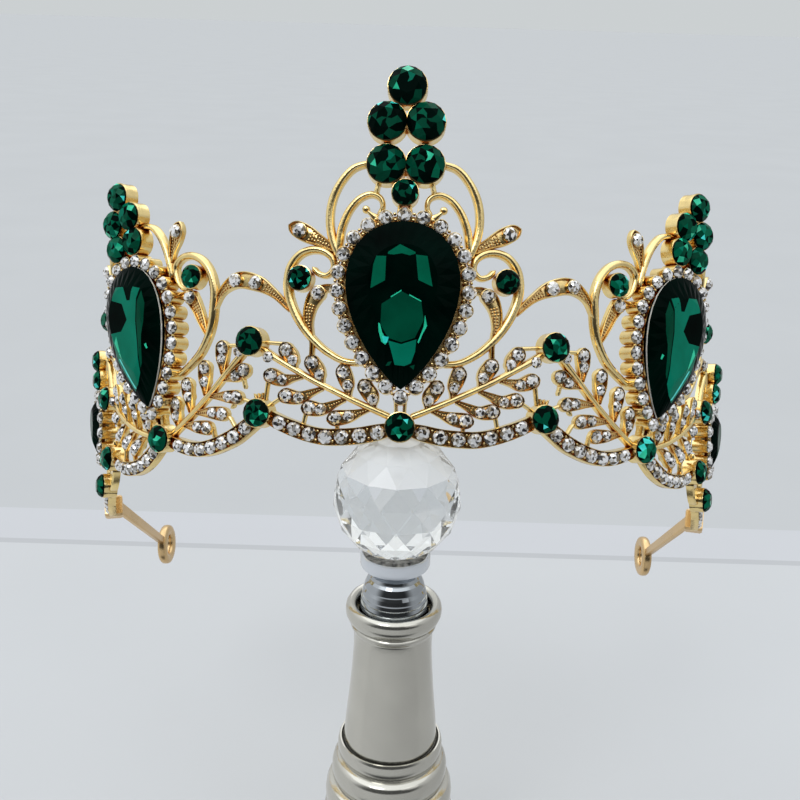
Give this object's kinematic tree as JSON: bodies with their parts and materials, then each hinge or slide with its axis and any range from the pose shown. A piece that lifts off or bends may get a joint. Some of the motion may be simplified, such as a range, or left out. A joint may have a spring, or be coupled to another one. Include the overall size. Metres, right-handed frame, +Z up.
{
  "type": "diadem on a display stand",
  "caption": "Open-backed diadem of gilt cast scrolls and leaves with pear-shaped and round green stones and clear stone borders, resting on a glass ball stand.",
  "frame": {"origin": "centre of the underside of the stand's foot, on the table", "axes": "+Z up the stand's axis, +Y to the back of the diadem, +X to the diadem's right side as seen from the front"},
  "size_m": [0.1515, 0.112, 0.1921],
  "materials": {
    "gilt_metal": "polished yellow gilt over cast metal",
    "green_stone": "faceted deep green glass, foil backed",
    "clear_crystal": "faceted clear rhinestones, foil backed",
    "ball_glass": "faceted clear glass",
    "chrome": "mirror",
    "nickel": "polished nickel plating, slightly worn"
  },
  "bodies": {
    "root": {"frame": "gilt_metal", "arm_right": "gilt_metal", "arm_left": "gilt_metal", "pear_center": "green_stone", "pear_right": "green_stone", "pear_left": "green_stone", "pear_end_right": "green_stone", "pear_end_left": "green_stone", "crest_top": "green_stone", "crest_mid_right": "green_stone", "crest_mid_left": "green_stone", "crest_low_right": "green_stone", "crest_low_left": "green_stone", "crest_small": "green_stone", "base_center": "green_stone", "right_crest_top": "green_stone", "right_crest_mid_outer": "green_stone", "right_crest_mid_inner": "green_stone", "right_crest_low_outer": "green_stone", "right_crest_low_inner": "green_stone", "right_base": "green_stone", "left_crest_top": "green_stone", "left_crest_mid_outer": "green_stone", "left_crest_mid_inner": "green_stone", "left_crest_low_outer": "green_stone", "left_crest_low_inner": "green_stone", "left_base": "green_stone", "link_high_right": "green_stone", "link_low_right": "green_stone", "link_high_left": "green_stone", "link_low_left": "green_stone", "side_link_high_right": "green_stone", "side_link_low_right": "green_stone", "side_link_high_left": "green_stone", "side_link_low_left": "green_stone", "end_crest_right": "green_stone", "end_tip_right": "green_stone", "end_base_right": "green_stone", "end_crest_left": "green_stone", "end_tip_left": "green_stone", "end_base_left": "green_stone", "scroll_stones": "green_stone", "clear_center": "clear_crystal", "clear_right": "clear_crystal", "clear_left": "clear_crystal", "glass_ball": "ball_glass", "ball_collar": "chrome", "collar_neck": "chrome", "pedestal": "nickel"}
  },
  "joints": []
}
